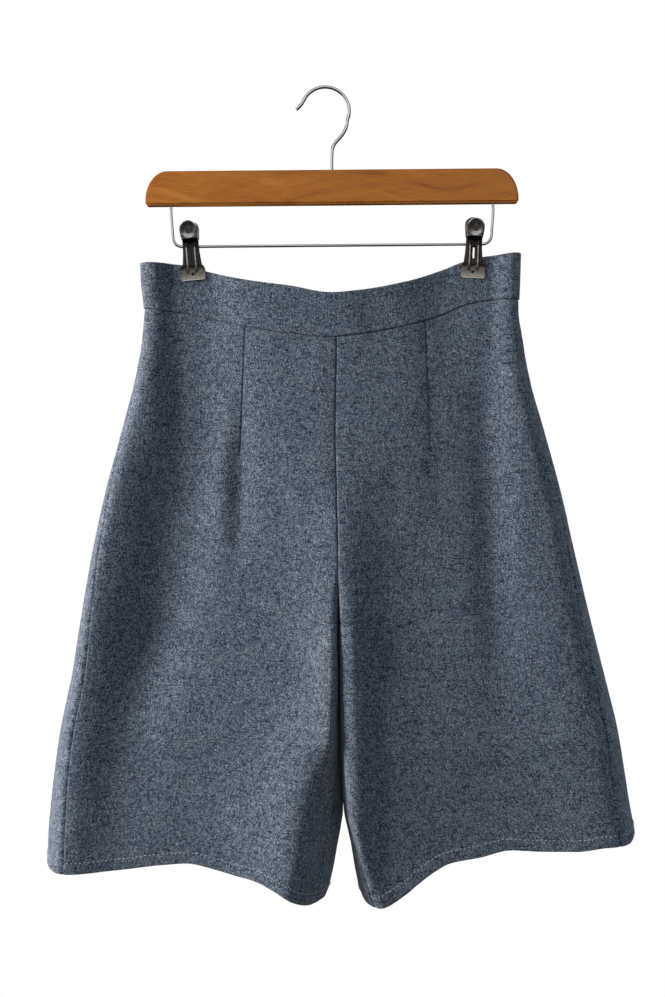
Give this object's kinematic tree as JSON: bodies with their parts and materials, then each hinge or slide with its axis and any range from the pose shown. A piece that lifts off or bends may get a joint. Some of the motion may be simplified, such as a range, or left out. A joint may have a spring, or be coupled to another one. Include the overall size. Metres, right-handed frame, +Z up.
{
  "type": "culottes hung on a wooden clip hanger",
  "caption": "Knee-length culottes with a waistband and front darts, hung flat by sprung clips from a wooden hanger with a steel hook.",
  "frame": {"origin": "the inside of the hook's top, straight above the hanger's shank, where a rail carries it", "axes": "+X is the wearer's left, -Y is the front of the garment, +Z is up"},
  "size_m": [0.5839, 0.117, 0.8104],
  "materials": {
    "cloth": "matte slubby linen-look weave, blue-grey with navy and pale flecks",
    "zip_tape": "fine woven tape",
    "zip_metal": "satin paint, blue-grey",
    "wood": "clear satin varnish over warm mid-brown wood",
    "chrome": "polished",
    "clip_steel": "dark nickel plating, worn bright on its edges"
  },
  "bodies": {
    "garment": {"waistband_front": "cloth", "waistband_back_left": "cloth", "waistband_back_right": "cloth", "front_left": "cloth", "front_right": "cloth", "back_left": "cloth", "back_right": "cloth", "zip_tape_left": "zip_tape", "zip_tape_right": "zip_tape", "zip_slider": "zip_metal", "hanger_bar": "wood", "hanger_hook": "chrome", "hanger_rail": "chrome", "clip_front_jaw_left": "clip_steel", "clip_back_jaw_left": "clip_steel", "clip_spring_left": "clip_steel", "clip_front_jaw_right": "clip_steel", "clip_back_jaw_right": "clip_steel", "clip_spring_right": "clip_steel"},
    "pull_tab": {"zip_pull": "zip_metal"}
  },
  "joints": [
    {"name": "pull_swing", "type": "hinge", "parent": "garment", "child": "pull_tab", "pos_m": [0.0048, 0.0168, -0.209], "axis": [1, 0, 0], "range_deg": [0, 150]}
  ]
}
